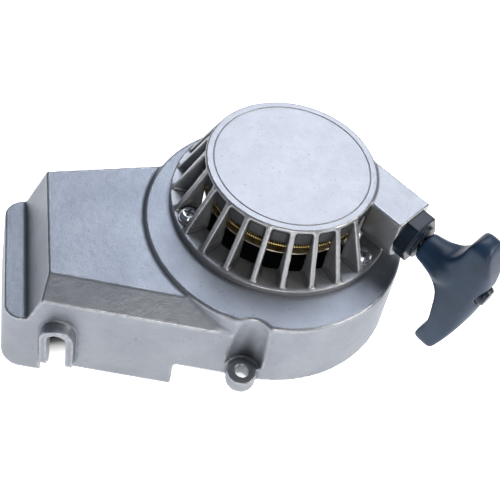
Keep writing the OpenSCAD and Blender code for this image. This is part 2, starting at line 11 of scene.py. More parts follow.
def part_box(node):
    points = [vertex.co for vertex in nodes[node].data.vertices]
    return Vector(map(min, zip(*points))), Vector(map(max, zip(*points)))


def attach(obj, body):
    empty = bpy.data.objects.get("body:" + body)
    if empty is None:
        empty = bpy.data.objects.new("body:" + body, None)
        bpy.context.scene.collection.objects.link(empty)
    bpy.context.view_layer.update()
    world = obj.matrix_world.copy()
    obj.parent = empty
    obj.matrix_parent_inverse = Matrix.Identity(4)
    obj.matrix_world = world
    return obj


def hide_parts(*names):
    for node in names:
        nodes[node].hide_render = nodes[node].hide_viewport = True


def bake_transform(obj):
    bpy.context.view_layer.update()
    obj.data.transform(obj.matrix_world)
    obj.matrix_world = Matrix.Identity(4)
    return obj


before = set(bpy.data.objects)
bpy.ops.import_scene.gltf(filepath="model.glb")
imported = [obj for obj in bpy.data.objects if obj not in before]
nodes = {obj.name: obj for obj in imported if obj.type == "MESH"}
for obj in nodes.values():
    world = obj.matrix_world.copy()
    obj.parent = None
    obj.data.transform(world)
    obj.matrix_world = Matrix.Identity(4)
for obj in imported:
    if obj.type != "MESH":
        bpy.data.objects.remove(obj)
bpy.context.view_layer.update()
mm = 0.001
print("frame loaded:", len(nodes), "solids")


def srgb(text, alpha=1.0):
    # "#rrggbb" as the linear colour that shaders want
    parts = [int(text[i:i + 2], 16) / 255 for i in (1, 3, 5)]
    return [c / 12.92 if c <= 0.04045 else ((c + 0.055) / 1.055) ** 2.4 for c in parts] + [alpha]


def addNode(tree, kind, links=None, **settings):
    # links: socket -> another node's output, or a plain value
    node = tree.nodes.new(kind)
    for key, value in settings.items():
        setattr(node, key, value)
    for socket, source in (links or {}).items():
        if isinstance(source, bpy.types.NodeSocket):
            tree.links.new(source, node.inputs[socket])
        else:
            node.inputs[socket].default_value = source
    return node


def newMaterial(name):
    material = bpy.data.materials.new(name)
    material.use_nodes = True
    tree = material.node_tree
    tree.nodes.clear()
    shader = addNode(tree, "ShaderNodeBsdfPrincipled")
    output = addNode(tree, "ShaderNodeOutputMaterial", {"Surface": shader.outputs["BSDF"]})
    output.target = "ALL"
    return material, tree, shader


def noiseAt(tree, place, grainSize, detail=3.0, rough=0.5):
    # grainSize in mm; object coordinates are in metres
    return addNode(tree, "ShaderNodeTexNoise", {"Vector": place, "Scale": 1 / (grainSize * mm),
                   "Detail": detail, "Roughness": rough}).outputs["Fac"]


def ramp(tree, factor, low, high, start=(0, 0, 0, 1), end=(1, 1, 1, 1)):
    node = addNode(tree, "ShaderNodeValToRGB", {"Fac": factor})
    node.color_ramp.elements[0].position, node.color_ramp.elements[0].color = low, start
    node.color_ramp.elements[1].position, node.color_ramp.elements[1].color = high, end
    return node.outputs["Color"]


def mixColour(tree, factor, a, b):
    # the mix node's colour sockets are numbers 6 and 7, and its colour result is number 2
    return addNode(tree, "ShaderNodeMix", {0: factor, 6: a, 7: b}, data_type="RGBA").outputs[2]


def calc(tree, operation, *sources):
    # works in material trees and geometry trees alike
    return addNode(tree, "ShaderNodeMath", dict(enumerate(sources)), operation=operation).outputs[0]


def castAluminium(name, look):
    # die-cast aluminium, tumbled, not machined: satin metal with a fine grain, stains, rubbed edges with a
    # painted highlight, and painted shade in creases and inside
    material, tree, shader = newMaterial(name)
    place = addNode(tree, "ShaderNodeTexCoord").outputs["Object"]
    stain = noiseAt(tree, place, look["stainSize"], 4, 0.6)
    grain = noiseAt(tree, place, look["grainSize"], 3, 0.6)
    colour = mixColour(tree, ramp(tree, stain, 0.35, 0.68), srgb(look["dark"]), srgb(look["light"]))
    speck = ramp(tree, noiseAt(tree, place, look["speckSize"], 2, 0.5), 0.66, 0.74)
    colour = mixColour(tree, calc(tree, "MULTIPLY", speck, 0.35), colour, srgb(look["speck"]))
    colour = mixColour(tree, ramp(tree, grain, 0.3, 0.7, (0.86, 0.86, 0.86, 1)), srgb("#000000"), colour)
    edge = addNode(tree, "ShaderNodeAttribute", attribute_name="edge").outputs["Fac"]
    scuff = noiseAt(tree, place, 4.0, 4, 0.7)
    # rubbed edges, partly a painted highlight: convex edges turn lighter in scuffed patches
    wearAndHighlight = calc(tree, "MULTIPLY", ramp(tree, edge, look["wearAndHighlightFrom"], 0.95), ramp(tree, scuff, 0.30, 0.60))
    # painted shade: the colour darkens in creases
    creaseShade = calc(tree, "MULTIPLY", ramp(tree, edge, 0.08, 0.36, (1, 1, 1, 1), (0, 0, 0, 1)), 0.4)
    # painted shade: the inside, where little light reaches, turns near black
    innerShade = addNode(tree, "ShaderNodeAttribute", attribute_name="innerShade").outputs["Fac"]
    colour = mixColour(tree, calc(tree, "MULTIPLY", wearAndHighlight, 0.3), colour, srgb(look["wearAndHighlight"]))
    colour = mixColour(tree, creaseShade, colour, srgb(look["creaseShade"]))
    colour = mixColour(tree, calc(tree, "MULTIPLY", innerShade, 0.9), colour, srgb(look["innerShade"]))
    tree.links.new(colour, shader.inputs["Base Color"])
    rough = calc(tree, "MULTIPLY_ADD", grain, 0.16, look["roughness"] - 0.08)
    rough = calc(tree, "MULTIPLY_ADD", wearAndHighlight, -0.12, rough)
    tree.links.new(rough, shader.inputs["Roughness"])
    shader.inputs["Metallic"].default_value = look["metallic"]
    height = calc(tree, "MULTIPLY_ADD", noiseAt(tree, place, look["waveSize"], 2, 0.5), 1.4, grain)
    bump = addNode(tree, "ShaderNodeBump", {"Height": height, "Strength": look["bump"], "Distance": 0.12 * mm})
    tree.links.new(bump.outputs["Normal"], shader.inputs["Normal"])
    return material


def platedSteel(name, look):
    # zinc-plated or bright steel: smooth metal, a faint cloudiness, fine turned or rolled lines
    material, tree, shader = newMaterial(name)
    place = addNode(tree, "ShaderNodeTexCoord").outputs["Object"]
    cloud = noiseAt(tree, place, look["cloudSize"], 3, 0.6)
    colour = mixColour(tree, ramp(tree, cloud, 0.35, 0.65), srgb(look["dark"]), srgb(look["light"]))
    fine = noiseAt(tree, place, look["grainSize"], 2, 0.5)
    if "teeth" in look:
        # a rim rolled with fine slanting teeth, the gaps between them darkened as painted shade
        axes = addNode(tree, "ShaderNodeSeparateXYZ", {0: place}).outputs
        angle = calc(tree, "ARCTAN2", axes[1], axes[0])
        slant = calc(tree, "MULTIPLY_ADD", axes[2], 1.2 / mm, calc(tree, "MULTIPLY", angle, look["teeth"]))
        tooth = ramp(tree, calc(tree, "SINE", slant), -0.4, 0.5)
        colour = mixColour(tree, tooth, srgb(look["gap"]), colour)
        fine = calc(tree, "MULTIPLY_ADD", tooth, 2.0, fine)
    tree.links.new(colour, shader.inputs["Base Color"])
    tree.links.new(calc(tree, "MULTIPLY_ADD", fine, 0.2, look["roughness"] - 0.1), shader.inputs["Roughness"])
    shader.inputs["Metallic"].default_value = 1.0
    bump = addNode(tree, "ShaderNodeBump", {"Height": fine, "Strength": look["bump"], "Distance": 0.05 * mm})
    tree.links.new(bump.outputs["Normal"], shader.inputs["Normal"])
    return material


def mouldedPlastic(name, look):
    # glass-filled nylon from a spark-eroded mould: deep dye, soft sheen, fine pebbled skin
    material, tree, shader = newMaterial(name)
    place = addNode(tree, "ShaderNodeTexCoord").outputs["Object"]
    cloud = noiseAt(tree, place, look["cloudSize"], 3, 0.5)
    pebble = noiseAt(tree, place, look["grainSize"], 2, 0.5)
    colour = mixColour(tree, ramp(tree, cloud, 0.35, 0.70), srgb(look["dark"]), srgb(look["light"]))
    tree.links.new(colour, shader.inputs["Base Color"])
    rough = calc(tree, "MULTIPLY_ADD", pebble, 0.18, look["roughness"] - 0.09)
    tree.links.new(rough, shader.inputs["Roughness"])
    shader.inputs["IOR"].default_value = 1.42
    bump = addNode(tree, "ShaderNodeBump", {"Height": pebble, "Strength": look["bump"], "Distance": 0.08 * mm})
    tree.links.new(bump.outputs["Normal"], shader.inputs["Normal"])
    return material


def braidedNylon(name, look):
    # braided nylon cord: matt, slightly fuzzy, with painted shade where the strands dip under each other and
    # grubby patches
    material, tree, shader = newMaterial(name)
    place = addNode(tree, "ShaderNodeTexCoord").outputs["Object"]
    strandShade = addNode(tree, "ShaderNodeAttribute", attribute_name="strandShade").outputs["Fac"]
    colour = mixColour(tree, ramp(tree, strandShade, 0.25, 0.75), srgb(look["dark"]), srgb(look["light"]))
    dirt = ramp(tree, noiseAt(tree, place, 6.0, 4, 0.6), 0.45, 0.75)
    colour = mixColour(tree, calc(tree, "MULTIPLY", dirt, 0.5), colour, srgb(look["dirt"]))
    tree.links.new(colour, shader.inputs["Base Color"])
    shader.inputs["Roughness"].default_value = 0.75
    shader.inputs["Sheen Weight"].default_value = 0.25
    fibre = noiseAt(tree, place, 0.25, 2, 0.6)
    bump = addNode(tree, "ShaderNodeBump", {"Height": fibre, "Strength": 0.5, "Distance": 0.1 * mm})
    tree.links.new(bump.outputs["Normal"], shader.inputs["Normal"])
    return material


coverLook = {"dark": "#8f949d", "light": "#9da2aa", "wearAndHighlight": "#cbcdd0", "creaseShade": "#40464d", "speck": "#565b62",
             "innerShade": "#0b0c0e", "stainSize": 22, "grainSize": 0.55, "speckSize": 1.6, "waveSize": 3.5,
             "roughness": 0.44, "metallic": 0.86, "bump": 1.0, "wearAndHighlightFrom": 0.72}
cageLook = dict(coverLook, dark="#a3a5a9", light="#abadb1", roughness=0.42, stainSize=9, creaseShade="#23272b",
                bump=0.9)
finishes = {
    "coverMetal": castAluminium("castAluminiumCover", coverLook),
    "cageMetal": castAluminium("castAluminiumCage", cageLook),
    "brightZinc": platedSteel("brightZincSteel", {"dark": "#a9adb2", "light": "#d6d8dc", "cloudSize": 3,
                              "grainSize": 0.3, "roughness": 0.24, "bump": 0.2}),
    "yellowZinc": platedSteel("yellowZincSteel", {"dark": "#d8c483", "light": "#fbf0c2", "cloudSize": 7,
                              "grainSize": 0.4, "roughness": 0.30, "bump": 0.25, "teeth": 230,
                              "gap": "#9a8346"}),
    # painted shade: a darker, greyer copy of the yellow zinc, for the lower reel plate in the upper plate's shade
    "shadedYellowZinc": platedSteel("shadedYellowZincSteel", {"dark": "#8d8676", "light": "#c9c3b2", "cloudSize": 7,
                            "grainSize": 0.4, "roughness": 0.34, "bump": 0.25}),
    "bluedSteel": platedSteel("bluedSpringSteel", {"dark": "#2e333b", "light": "#505863", "cloudSize": 9,
                              "grainSize": 0.3, "roughness": 0.36, "bump": 0.2}),
    "hardSteel": platedSteel("caseHardenedSteel", {"dark": "#4b4d52", "light": "#787b80", "cloudSize": 5,
                             "grainSize": 0.4, "roughness": 0.42, "bump": 0.3}),
    "bronze": platedSteel("sinteredBronze", {"dark": "#7a5a30", "light": "#a98450", "cloudSize": 2,
                          "grainSize": 0.2, "roughness": 0.5, "bump": 0.4}),
    "blackNylon": mouldedPlastic("blackNylonGuide", {"dark": "#0b1622", "light": "#142434", "cloudSize": 8,
                                 "grainSize": 0.5, "roughness": 0.36, "bump": 0.25}),
    "gripNylon": mouldedPlastic("navyNylonGrip", {"dark": "#172c43", "light": "#213a54", "cloudSize": 14,
                                "grainSize": 0.6, "roughness": 0.42, "bump": 0.30}),
    "reelNylon": mouldedPlastic("blackNylonReel", {"dark": "#0b0c0e", "light": "#15171a", "cloudSize": 10,
                                "grainSize": 0.5, "roughness": 0.5, "bump": 0.25}),
    "rope": braidedNylon("braidedNylonRope", {"dark": "#5a5140", "light": "#cfc6ae", "dirt": "#4a4234"}),
}
print("materials:", len(finishes))


def mergedCopy(nodeName, pieceName):
    mesh = nodes[nodeName].data.copy()
    mesh.name = pieceName
    work = bmesh.new()
    work.from_mesh(mesh)
    bmesh.ops.remove_doubles(work, verts=work.verts, dist=0.002 * mm)
    work.to_mesh(mesh)
    work.free()
    mesh.materials.clear()
    piece = bpy.data.objects.new(pieceName, mesh)
    bpy.context.collection.objects.link(piece)
    return piece


def bake(piece):
    # the evaluated object becomes its plain mesh, and the modifiers go
    graph = bpy.context.evaluated_depsgraph_get()
    mesh = bpy.data.meshes.new_from_object(piece.evaluated_get(graph))
    old = piece.data
    piece.modifiers.clear()
    piece.data = mesh
    if old.users == 0:
        bpy.data.meshes.remove(old)
    return piece


def neighbourMean(values, a, b, count):
    total = np.zeros_like(values)
    for axis in range(values.shape[1]):
        total[:, axis] = (np.bincount(a, values[b, axis], len(values))
                          + np.bincount(b, values[a, axis], len(values)))
    return total / count[:, None]


edgeRead = {"rounds": 6, "reach": 0.12 * mm}


def edgeValues(mesh, rounds, reach):
    # 0.5 on a flat face, towards 1 on a convex edge and 0 in a crease; reach is the offset that gives 1
    points = np.empty(len(mesh.vertices) * 3)
    mesh.vertices.foreach_get("co", points)
    points = points.reshape(-1, 3)
    normals = np.empty(len(points) * 3)
    mesh.vertices.foreach_get("normal", normals)
    pairs = np.empty(len(mesh.edges) * 2, dtype=np.int32)
    mesh.edges.foreach_get("vertices", pairs)
    a, b = pairs.reshape(-1, 2).T
    count = np.maximum(np.bincount(a, minlength=len(points)) + np.bincount(b, minlength=len(points)), 1)
    smooth = points.copy()
    for _ in range(rounds):
        smooth = neighbourMean(smooth, a, b, count)
    offset = ((points - smooth) * normals.reshape(-1, 3)).sum(axis=1)
    return points, np.clip(0.5 + 0.5 * offset / reach, 0, 1)


def roundOff(piece, spot):
    # rounds the edges round one vertical groove more than the rest
    group = piece.vertex_groups.new(name="rounder")
    for v in piece.data.vertices:
        away = math.hypot(v.co.x / mm - spot["x"], v.co.y / mm - spot["y"])
        beside = 1 - smoothStep(spot["near"], spot["far"], away)
        weight = beside * smoothStep(spot["low"], spot["high"], v.co.z / mm)
        if weight > 0.01:
            group.add([v.index], weight, "REPLACE")
    relax = piece.modifiers.new("rounder", "SMOOTH")
    relax.factor, relax.iterations, relax.vertex_group = 0.5, spot["rounds"], group.name
    bake(piece)


def soften(piece, voxel, smoothing, target, spot=None):
    # cast or moulded edges: remesh finely, relax, note where the edges are, then thin to the target
    remesh = piece.modifiers.new("voxels", "REMESH")
    remesh.mode = "VOXEL"
    remesh.voxel_size = voxel
    relax = piece.modifiers.new("relax", "SMOOTH")
    relax.factor = 0.5
    relax.iterations = smoothing
    bake(piece)
    if spot:
        roundOff(piece, spot)
    points, values = edgeValues(piece.data, edgeRead["rounds"], edgeRead["reach"])
    search = KDTree(len(points))
    for index, point in enumerate(points):
        search.insert(point, index)
    search.balance()
    triangles = sum(len(p.vertices) - 2 for p in piece.data.polygons)
    if triangles > target:
        thin = piece.modifiers.new("thin", "DECIMATE")
        thin.ratio = target / triangles
        bake(piece)
    edge = piece.data.attributes.new("edge", "FLOAT", "POINT")
    edge.data.foreach_set("value", [values[search.find(v.co)[1]] for v in piece.data.vertices])
    piece.data.shade_smooth()
    return piece


def storeField(piece, name, rule):
    # one number a vertex, from its place in mm
    field = piece.data.attributes.new(name, "FLOAT", "POINT")
    field.data.foreach_set("value", [rule(v.co / mm) for v in piece.data.vertices])


def smoothStep(low, high, value):
    t = min(max((value - low) / (high - low), 0), 1)
    return t * t * (3 - 2 * t)


def bevelled(nodeName, pieceName, width, segments=2):
    # sheet and turned steel: the solid's copy with its hard edges broken
    piece = mergedCopy(nodeName, pieceName)
    return breakEdges(piece, width, segments)


def breakEdges(piece, width, segments=2):
    bevel = piece.modifiers.new("brokenEdges", "BEVEL")
    bevel.width, bevel.segments = width * mm, segments
    bevel.limit_method, bevel.angle_limit = "ANGLE", math.radians(40)
    bake(piece)
    piece.data.shade_smooth()
    return piece


def oneOf(nodeName, pieceName, radius, angle, reach):
    # the one item of a repeated set that stands at this angle, moved to the origin and turned to angle 0
    piece = mergedCopy(nodeName, pieceName)
    centre = Vector((radius * math.cos(math.radians(angle)), radius * math.sin(math.radians(angle)), 0)) * mm
    work = bmesh.new()
    work.from_mesh(piece.data)
    others = [v for v in work.verts if (v.co - centre).to_2d().length > reach * mm]
    bmesh.ops.delete(work, geom=others, context="VERTS")
    bmesh.ops.translate(work, verts=work.verts, vec=-centre)
    bmesh.ops.rotate(work, verts=work.verts, matrix=Matrix.Rotation(math.radians(-angle), 3, "Z"))
    work.to_mesh(piece.data)
    work.free()
    return piece


def newTree(name, inputs):
    # a geometry tree and its sockets; inputs: name -> (socket type, value)
    tree = bpy.data.node_groups.new(name, "GeometryNodeTree")
    tree.interface.new_socket("Geometry", in_out="INPUT", socket_type="NodeSocketGeometry")
    tree.interface.new_socket("Geometry", in_out="OUTPUT", socket_type="NodeSocketGeometry")
    for label, (kind, value) in inputs.items():
        tree.interface.new_socket(label, in_out="INPUT", socket_type=kind).default_value = value
    return tree, tree.nodes.new("NodeGroupInput").outputs


def runTree(piece, tree, values):
    modifier = piece.modifiers.new(tree.name, "NODES")
    modifier.node_group = tree
    for item in tree.interface.items_tree:
        if item.in_out == "INPUT" and item.name in values:
            modifier[item.identifier] = values[item.name]
    return bake(piece)


def vectorMaths(tree, operation, a, b=None, scale=None):
    links = {0: a}
    if b is not None:
        links[1] = b
    node = addNode(tree, "ShaderNodeVectorMath", links, operation=operation)
    if scale is not None:
        tree.links.new(scale, node.inputs["Scale"])
    return node.outputs[0]


def ringCopies():
    # copies of one item on a circle about the crank axis, each turned to face outwards
    tree, given = newTree("ringCopies", {"Count": ("NodeSocketInt", 3), "Radius": ("NodeSocketFloat", 0.05),
                          "Start": ("NodeSocketFloat", 0.0)})
    index = addNode(tree, "GeometryNodeInputIndex").outputs[0]
    share = calc(tree, "DIVIDE", index, given["Count"])
    angle = calc(tree, "MULTIPLY_ADD", share, 2 * math.pi, given["Start"])
    place = addNode(tree, "ShaderNodeCombineXYZ", {
        "X": calc(tree, "MULTIPLY", given["Radius"], calc(tree, "COSINE", angle)),
        "Y": calc(tree, "MULTIPLY", given["Radius"], calc(tree, "SINE", angle))}).outputs[0]
    points = addNode(tree, "GeometryNodePoints", {"Count": given["Count"], "Position": place})
    turn = addNode(tree, "ShaderNodeCombineXYZ", {"Z": angle}).outputs[0]
    copies = addNode(tree, "GeometryNodeInstanceOnPoints", {"Points": points.outputs[0],
                     "Instance": given["Geometry"], "Rotation": turn})
    whole = addNode(tree, "GeometryNodeRealizeInstances", {"Geometry": copies.outputs[0]})
    made = addNode(tree, "GeometryNodeSetMaterial", {"Geometry": whole.outputs[0],
                   "Material": finishes["brightZinc"]})
    addNode(tree, "NodeGroupOutput", {"Geometry": made.outputs[0]})
    return tree


def braidedCord():
    # strands that wind both ways round the path, over one and under one, on a plain core
    tree, given = newTree("braidedCord", {
        "Strands": ("NodeSocketInt", 8), "Strand radius": ("NodeSocketFloat", 0.5 * mm),
        "Ring radius": ("NodeSocketFloat", 0.85 * mm), "Weave": ("NodeSocketFloat", 0.2 * mm),
        "Lay": ("NodeSocketFloat", 8 * mm), "Step": ("NodeSocketFloat", 0.8 * mm)})
    path = addNode(tree, "GeometryNodeMeshToCurve", {"Mesh": given["Geometry"]}).outputs[0]
    even = addNode(tree, "GeometryNodeResampleCurve", {"Curve": path}, mode="LENGTH")
    tree.links.new(given["Step"], even.inputs[3])
    copies = addNode(tree, "GeometryNodeDuplicateElements", {"Geometry": even.outputs[0],
                     "Amount": given["Strands"]}, domain="SPLINE")
    number = copies.outputs["Duplicate Index"]
    along = addNode(tree, "GeometryNodeSplineParameter").outputs["Length"]
    way = calc(tree, "MULTIPLY_ADD", calc(tree, "MODULO", number, 2.0), -2.0, 1.0)
    turned = calc(tree, "MULTIPLY", calc(tree, "DIVIDE", along, given["Lay"]), 2 * math.pi)
    phase = calc(tree, "MULTIPLY", calc(tree, "DIVIDE", number, given["Strands"]), 2 * math.pi)
    angle = calc(tree, "MULTIPLY_ADD", turned, way, phase)
    half = calc(tree, "MULTIPLY", given["Strands"], 0.5)
    lift = calc(tree, "MULTIPLY", way, calc(tree, "SINE", calc(tree, "MULTIPLY", turned, half)))
    radius = calc(tree, "MULTIPLY_ADD", lift, given["Weave"], given["Ring radius"])
    normal = addNode(tree, "GeometryNodeInputNormal").outputs[0]
    side = vectorMaths(tree, "CROSS_PRODUCT", addNode(tree, "GeometryNodeInputTangent").outputs[0], normal)
    offset = vectorMaths(tree, "ADD",
                         vectorMaths(tree, "SCALE", normal, scale=calc(tree, "MULTIPLY", radius,
                                     calc(tree, "COSINE", angle))),
                         vectorMaths(tree, "SCALE", side, scale=calc(tree, "MULTIPLY", radius,
                                     calc(tree, "SINE", angle))))
    # painted shade: the stored value is low where a strand dips under its neighbours, and the cord's colour
    # darkens there
    shown = addNode(tree, "GeometryNodeStoreNamedAttribute", {"Geometry": copies.outputs["Geometry"],
                    "Name": "strandShade", "Value": calc(tree, "MULTIPLY_ADD", lift, 0.35, 0.6)},
                    data_type="FLOAT", domain="POINT")
    moved = addNode(tree, "GeometryNodeSetPosition", {"Geometry": shown.outputs[0], "Offset": offset})
    tubes = []
    for curve, size in ((moved.outputs[0], given["Strand radius"]), (even.outputs[0], given["Ring radius"])):
        ring = addNode(tree, "GeometryNodeCurvePrimitiveCircle", {"Resolution": 6, "Radius": size})
        tubes.append(addNode(tree, "GeometryNodeCurveToMesh", {"Curve": curve, "Profile Curve": ring.outputs[0],
                             "Fill Caps": True}).outputs[0])
    both = addNode(tree, "GeometryNodeJoinGeometry")
    for tube in tubes:
        tree.links.new(tube, both.inputs[0])
    whole = addNode(tree, "GeometryNodeRealizeInstances", {"Geometry": both.outputs[0]})
    made = addNode(tree, "GeometryNodeSetMaterial", {"Geometry": whole.outputs[0],
                   "Material": finishes["rope"]})
    addNode(tree, "NodeGroupOutput", {"Geometry": made.outputs[0]})
    return tree


def cordAlong(pieceName, points, values=None):
    # points in mm
    mesh = bpy.data.meshes.new(pieceName)
    mesh.from_pydata([Vector(p) * mm for p in points], [(i, i + 1) for i in range(len(points) - 1)], [])
    piece = bpy.data.objects.new(pieceName, mesh)
    bpy.context.collection.objects.link(piece)
    runTree(piece, trees["cord"], values or {})
    piece.data.shade_smooth()
    return piece


trees = {"ring": ringCopies(), "cord": braidedCord()}


def paint(piece, finish):
    piece.data.materials.clear()
    piece.data.materials.append(finishes[finish])


def dress(piece, finish, body, replaced):
    # the finish, the body it moves with and the plain solid it stands in for
    paint(piece, finish)
    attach(piece, body)
    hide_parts(replaced)


# the two castings
casting = {"coverVoxel": 0.6, "cageVoxel": 0.5, "coverTriangles": 190000, "cageTriangles": 180000,
           "relax": 5, "ringRadius": 37.25, "ringWidth": 0.55, "ringDepth": 0.4}
coarse = 1.0

# the rounded groove above the front lug, in mm
groove = {"x": -24.6, "y": -75.0, "near": 14, "far": 19, "low": 12, "high": 17,
          "rounds": 40 // int(coarse * coarse)}
cover = soften(mergedCopy("side_cover", "cover_casting"), casting["coverVoxel"] * coarse * mm,
               casting["relax"], casting["coverTriangles"], groove)
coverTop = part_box("side_cover")[1].z / mm
scroll = {"x": -3.6, "y": -9.3, "inlet": 42.0, "inside": 60.0, "innerShadeEdge": 2.5, "draft": 0.07, "boxFrom": -50}


def coverInnerShade(place):
    # painted shade inside the scroll and round the bore, where little light reaches; plain outside
    away = math.hypot(place.x - scroll["x"], place.y - scroll["y"]) + scroll["draft"] * place.z
    under = smoothStep(0.5, 2.5, coverTop - place.z)
    deep = 1 - smoothStep(scroll["inside"], scroll["inside"] + scroll["innerShadeEdge"], away)
    bore = 1 - smoothStep(scroll["inlet"] + 0.3, scroll["inlet"] + 1.5, math.hypot(place.x, place.y))
    return max(under * deep if place.x > scroll["boxFrom"] else 0, bore * under)


storeField(cover, "innerShade", coverInnerShade)
dress(cover, "coverMetal", "housing", "side_cover")
print("cover:", len(cover.data.polygons), "faces")

cage = soften(mergedCopy("starter_housing", "cage_casting"), casting["cageVoxel"] * coarse * mm,
              casting["relax"], casting["cageTriangles"])


def scoreRing(piece, radius, width, depth):
    # the fine turned line near the disc's rim, cut into a locally finer mesh
    work = bmesh.new()
    work.from_mesh(piece.data)
    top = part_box("starter_housing")[1].z
    for _ in range(2):
        near = [e for e in work.edges if all(abs(v.co.to_2d().length - radius) < 2.2 * width
                                             and v.co.z > top - 1 * mm for v in e.verts)]
        bmesh.ops.subdivide_edges(work, edges=near, cuts=1, use_grid_fill=True)
    for vertex in work.verts:
        away = abs(vertex.co.to_2d().length - radius) / (width / 2)
        if away < 1 and vertex.co.z > top - 0.6 * mm:
            vertex.co.z -= depth * (1 - away * away)
    bmesh.ops.triangulate(work, faces=[f for f in work.faces if len(f.verts) > 4])
    work.to_mesh(piece.data)
    work.free()
    piece.data.shade_smooth()


scoreRing(cage, casting["ringRadius"] * mm, casting["ringWidth"] * mm, casting["ringDepth"] * mm)
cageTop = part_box("starter_housing")[1].z / mm
cageShadeZone = {"from": 39.0, "to": 43.5, "skin": 2.2}


def cageInnerShade(place):
    # painted shade on whatever faces the reel, so the inside shows dark between the ribs
    away = math.hypot(place.x, place.y)
    behind = 1 - smoothStep(cageShadeZone["from"], cageShadeZone["to"], away)
    return behind * smoothStep(cageShadeZone["skin"], cageShadeZone["skin"] + 1.3, cageTop - place.z)


storeField(cage, "innerShade", cageInnerShade)
dress(cage, "cageMetal", "housing", "starter_housing")
print("cage:", len(cage.data.polygons), "faces")

# guide and handle
guide = soften(mergedCopy("rope_guide", "hex_rope_guide"), 0.3 * mm, 6, 60000)
dress(guide, "blackNylon", "housing", "rope_guide")
grip = soften(mergedCopy("handle_grip", "pull_handle"), 0.5 * mm, 110, 120000)
dress(grip, "gripNylon", "handle", "handle_grip")
plug = soften(mergedCopy("handle_plug", "handle_end_plug"), 0.2 * mm, 4, 20000)
dress(plug, "blackNylon", "handle", "handle_plug")
print("handle and guide done")

# screws, washers, rivets and pins: one of each, copied round its circle
repeats = {
    # node: piece, finish, body, slot, circle radius, first angle, count, reach, edge
    "housing_screws": ("cage_screws", "brightZinc", "housing", "bright_steel", 48.2, -46.9, 3, 6.5, 0.18),
    "housing_washers": ("cage_washers", "brightZinc", "housing", "bright_steel", 48.2, -46.9, 3, 6.5, 0.15),
    "reel_rivets": ("plate_rivets", "brightZinc", "reel", "bright_steel", 15.8, 45, 4, 4, 0.12),
    "pawl_pins": ("pawl_pivot_pins", "brightZinc", "reel", "bright_steel", 24, 0, 2, 4, 0.15),
}
for name, (pieceName, finish, body, slot, radius, angle, count, reach, edge) in repeats.items():
    item = breakEdges(oneOf(name, pieceName, radius, angle, reach), edge)
    runTree(item, trees["ring"], {"Count": count, "Radius": radius * mm, "Start": math.radians(angle)})
    item.data.shade_smooth()
    dress(item, finish, body, name)
print("screws, washers, rivets and pins placed")

# sheet and turned steel, with broken edges
turned = {
    "reel_core": ("reel_hub", "reelNylon", "reel", "reel_plastic", 0.3),
    "reel_upper_plate": ("upper_reel_plate", "yellowZinc", "reel", "yellow_zinc", 0.12),
    "reel_lower_plate": ("lower_reel_plate", "shadedYellowZinc", "reel", "yellow_zinc", 0.12),
    "reel_bush": ("hub_bush", "bronze", "reel", "bronze", 0.15),
    "recoil_spring": ("recoil_coil", "bluedSteel", "housing", "spring_steel", 0.08),
    "pawl_a": ("pawl_one_latch", "hardSteel", "pawl_one", "dark_steel", 0.2),
    "pawl_b": ("pawl_two_latch", "hardSteel", "pawl_two", "dark_steel", 0.2),
    "friction_plate": ("cam_plate", "hardSteel", "friction", "dark_steel", 0.15),
    "friction_spring": ("coned_spring", "bluedSteel", "housing", "spring_steel", 0.08),
    "friction_washer": ("thrust_washer", "brightZinc", "housing", "bright_steel", 0.15),
    "centre_screw": ("centre_bolt", "brightZinc", "housing", "bright_steel", 0.2),
    "knot_washer": ("knot_disc", "brightZinc", "rope_end", "bright_steel", 0.12),
}
for name, (pieceName, finish, body, slot, edge) in turned.items():
    dress(bevelled(name, pieceName, edge), finish, body, name)
print("steel parts done")

# rope: wound on the reel, led through the guide, with a knot at each end
rope = {"angle": -52.9, "offset": 23.4, "height": 58.2, "reelHeight": 54.0, "innerTurn": 21.2,
        "outerTurn": 34.0, "turns": 4, "bossEnd": 57.0, "shank": 12.0, "mouth": 65.0, "droop": 2.0, "knot": 26.96,
        "knotMiddle": 2.9, "anchorRadius": 15.0, "anchorAngle": 90.0}


def fromOutlet(x, y, z):
    # the outlet's frame: x along the rope, y away from the crank axis
    angle = math.radians(rope["angle"])
    return (x * math.cos(angle) - y * math.sin(angle), x * math.sin(angle) + y * math.cos(angle), z)


def ropePaths(r):
    reach = math.hypot(r["bossEnd"] - r["shank"], r["offset"])
    leave = math.atan2(r["offset"], r["bossEnd"] - r["shank"]) + math.acos(r["outerTurn"] / reach)
    end = leave + math.radians(r["angle"])
    steps = r["turns"] * 120
    winding = []
    for i in range(steps + 1):
        t = i / steps
        angle = end + (1 - t) * r["turns"] * 2 * math.pi
        size = r["innerTurn"] + (r["outerTurn"] - r["innerTurn"]) * t
        winding.append((size * math.cos(angle), size * math.sin(angle), r["reelHeight"]))
    tangent = Vector((r["outerTurn"] * math.cos(leave), r["outerTurn"] * math.sin(leave), r["reelHeight"]))
    mouth = Vector((r["bossEnd"] - r["shank"] + 3, r["offset"], r["height"]))
    lead = []
    for i in range(12):
        t = 0.14 + 0.08 * i if i < 11 else 1
        k = max(0, t - 0.46) / 0.54
        point = tangent + (mouth - tangent) * min(t, 1)
        point.z = r["reelHeight"] + (r["height"] - r["reelHeight"]) * k * k * (3 - 2 * k)
        if t < 0.97 or i == 11:
            lead.append(fromOutlet(*point))
    for x in range(int(mouth.x) + 3, int(r["mouth"]), 3):
        lead.append(fromOutlet(x, r["offset"], r["height"]))
    droop = math.radians(r["droop"])
    for i in range(10):
        x = r["knot"] * i / 9
        lead.append(fromOutlet(r["mouth"] + x * math.cos(droop), r["offset"],
                               r["height"] - x * math.sin(droop)))
    return winding, lead


